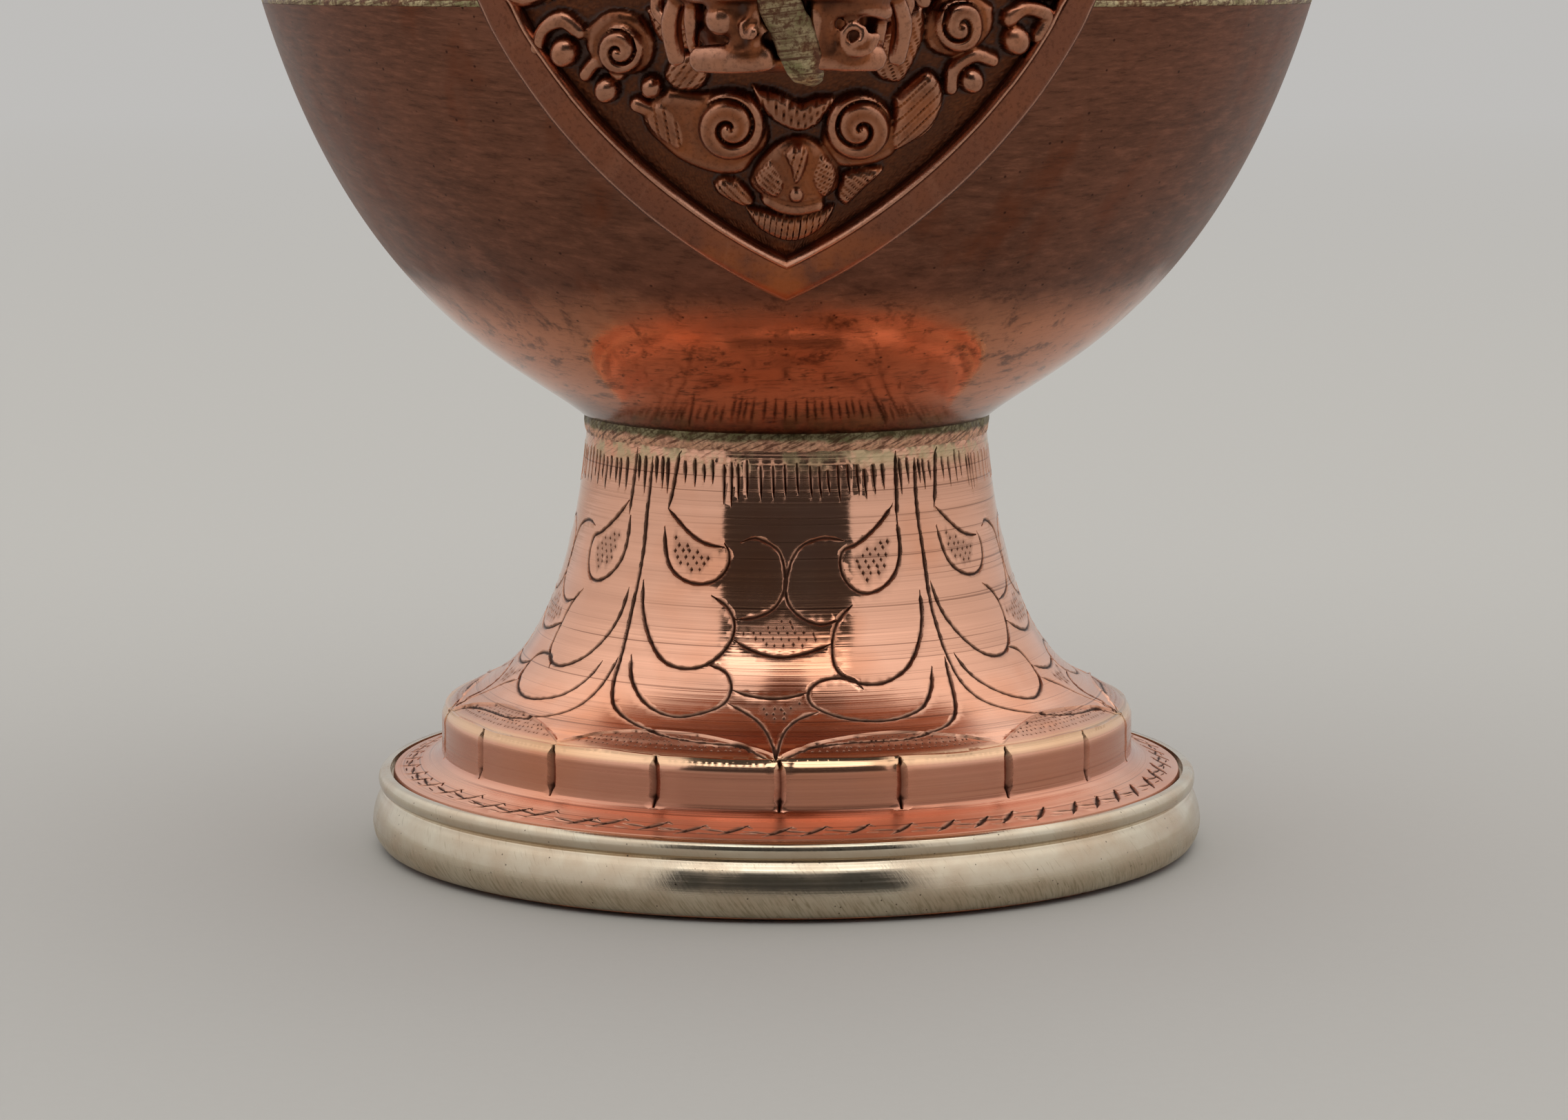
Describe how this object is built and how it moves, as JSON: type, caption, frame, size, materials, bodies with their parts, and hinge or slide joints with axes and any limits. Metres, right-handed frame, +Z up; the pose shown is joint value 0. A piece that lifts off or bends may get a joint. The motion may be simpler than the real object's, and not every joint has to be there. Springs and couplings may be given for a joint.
{
  "type": "bumpa vase",
  "caption": "Copper ritual ewer with flared foot, round belly with a pointed medallion, beast-head spout, flared mouth and lift-out stopper.",
  "frame": {"origin": "centre of the base plate's underside, on the surface that the vase stands on", "axes": "+Z up along the vase's axis; the spout and the medallion face -Y; +X to the right as seen from the front"},
  "size_m": [0.1036, 0.1518, 0.203],
  "materials": {
    "brown_copper": "brown oxidised copper, wire brushed, satin",
    "bright_copper": "spun copper, polished, with lathe scratches",
    "dark_copper": "copper with dark patina in the recesses",
    "white_metal": "yellowish nickel silver with file marks",
    "braze": "filed brass braze with green verdigris"
  },
  "bodies": {
    "vase": {"base_plate": "dark_copper", "foot_rim_ring": "white_metal", "foot_shell": "bright_copper", "foot_joint_braze": "braze", "belly_lower": "brown_copper", "belly_seam_braze": "braze", "belly_upper": "brown_copper", "neck_joint_braze": "braze", "neck_collar_ring": "white_metal", "neck_shell": "bright_copper", "mouth_dish": "bright_copper", "mouth_rim_ring": "white_metal", "medallion_plate": "dark_copper", "medallion_frame": "brown_copper", "makara_head": "dark_copper", "makara_jaw": "dark_copper", "spout_tube": "bright_copper", "spout_mouth_braze": "braze", "spout_tip_ring": "white_metal"},
    "stopper": {"stopper_sleeve": "bright_copper", "stopper_flange": "bright_copper", "stopper_lotus": "bright_copper", "stopper_dome": "brown_copper", "stopper_bead_ring": "white_metal", "stopper_bulb": "bright_copper", "feather_socket": "bright_copper", "socket_lip_ring": "white_metal"}
  },
  "joints": [
    {"name": "stopper_lift", "type": "slide", "parent": "vase", "child": "stopper", "axis": [0, 0, 1], "range_m": [0, 0.045]}
  ]
}
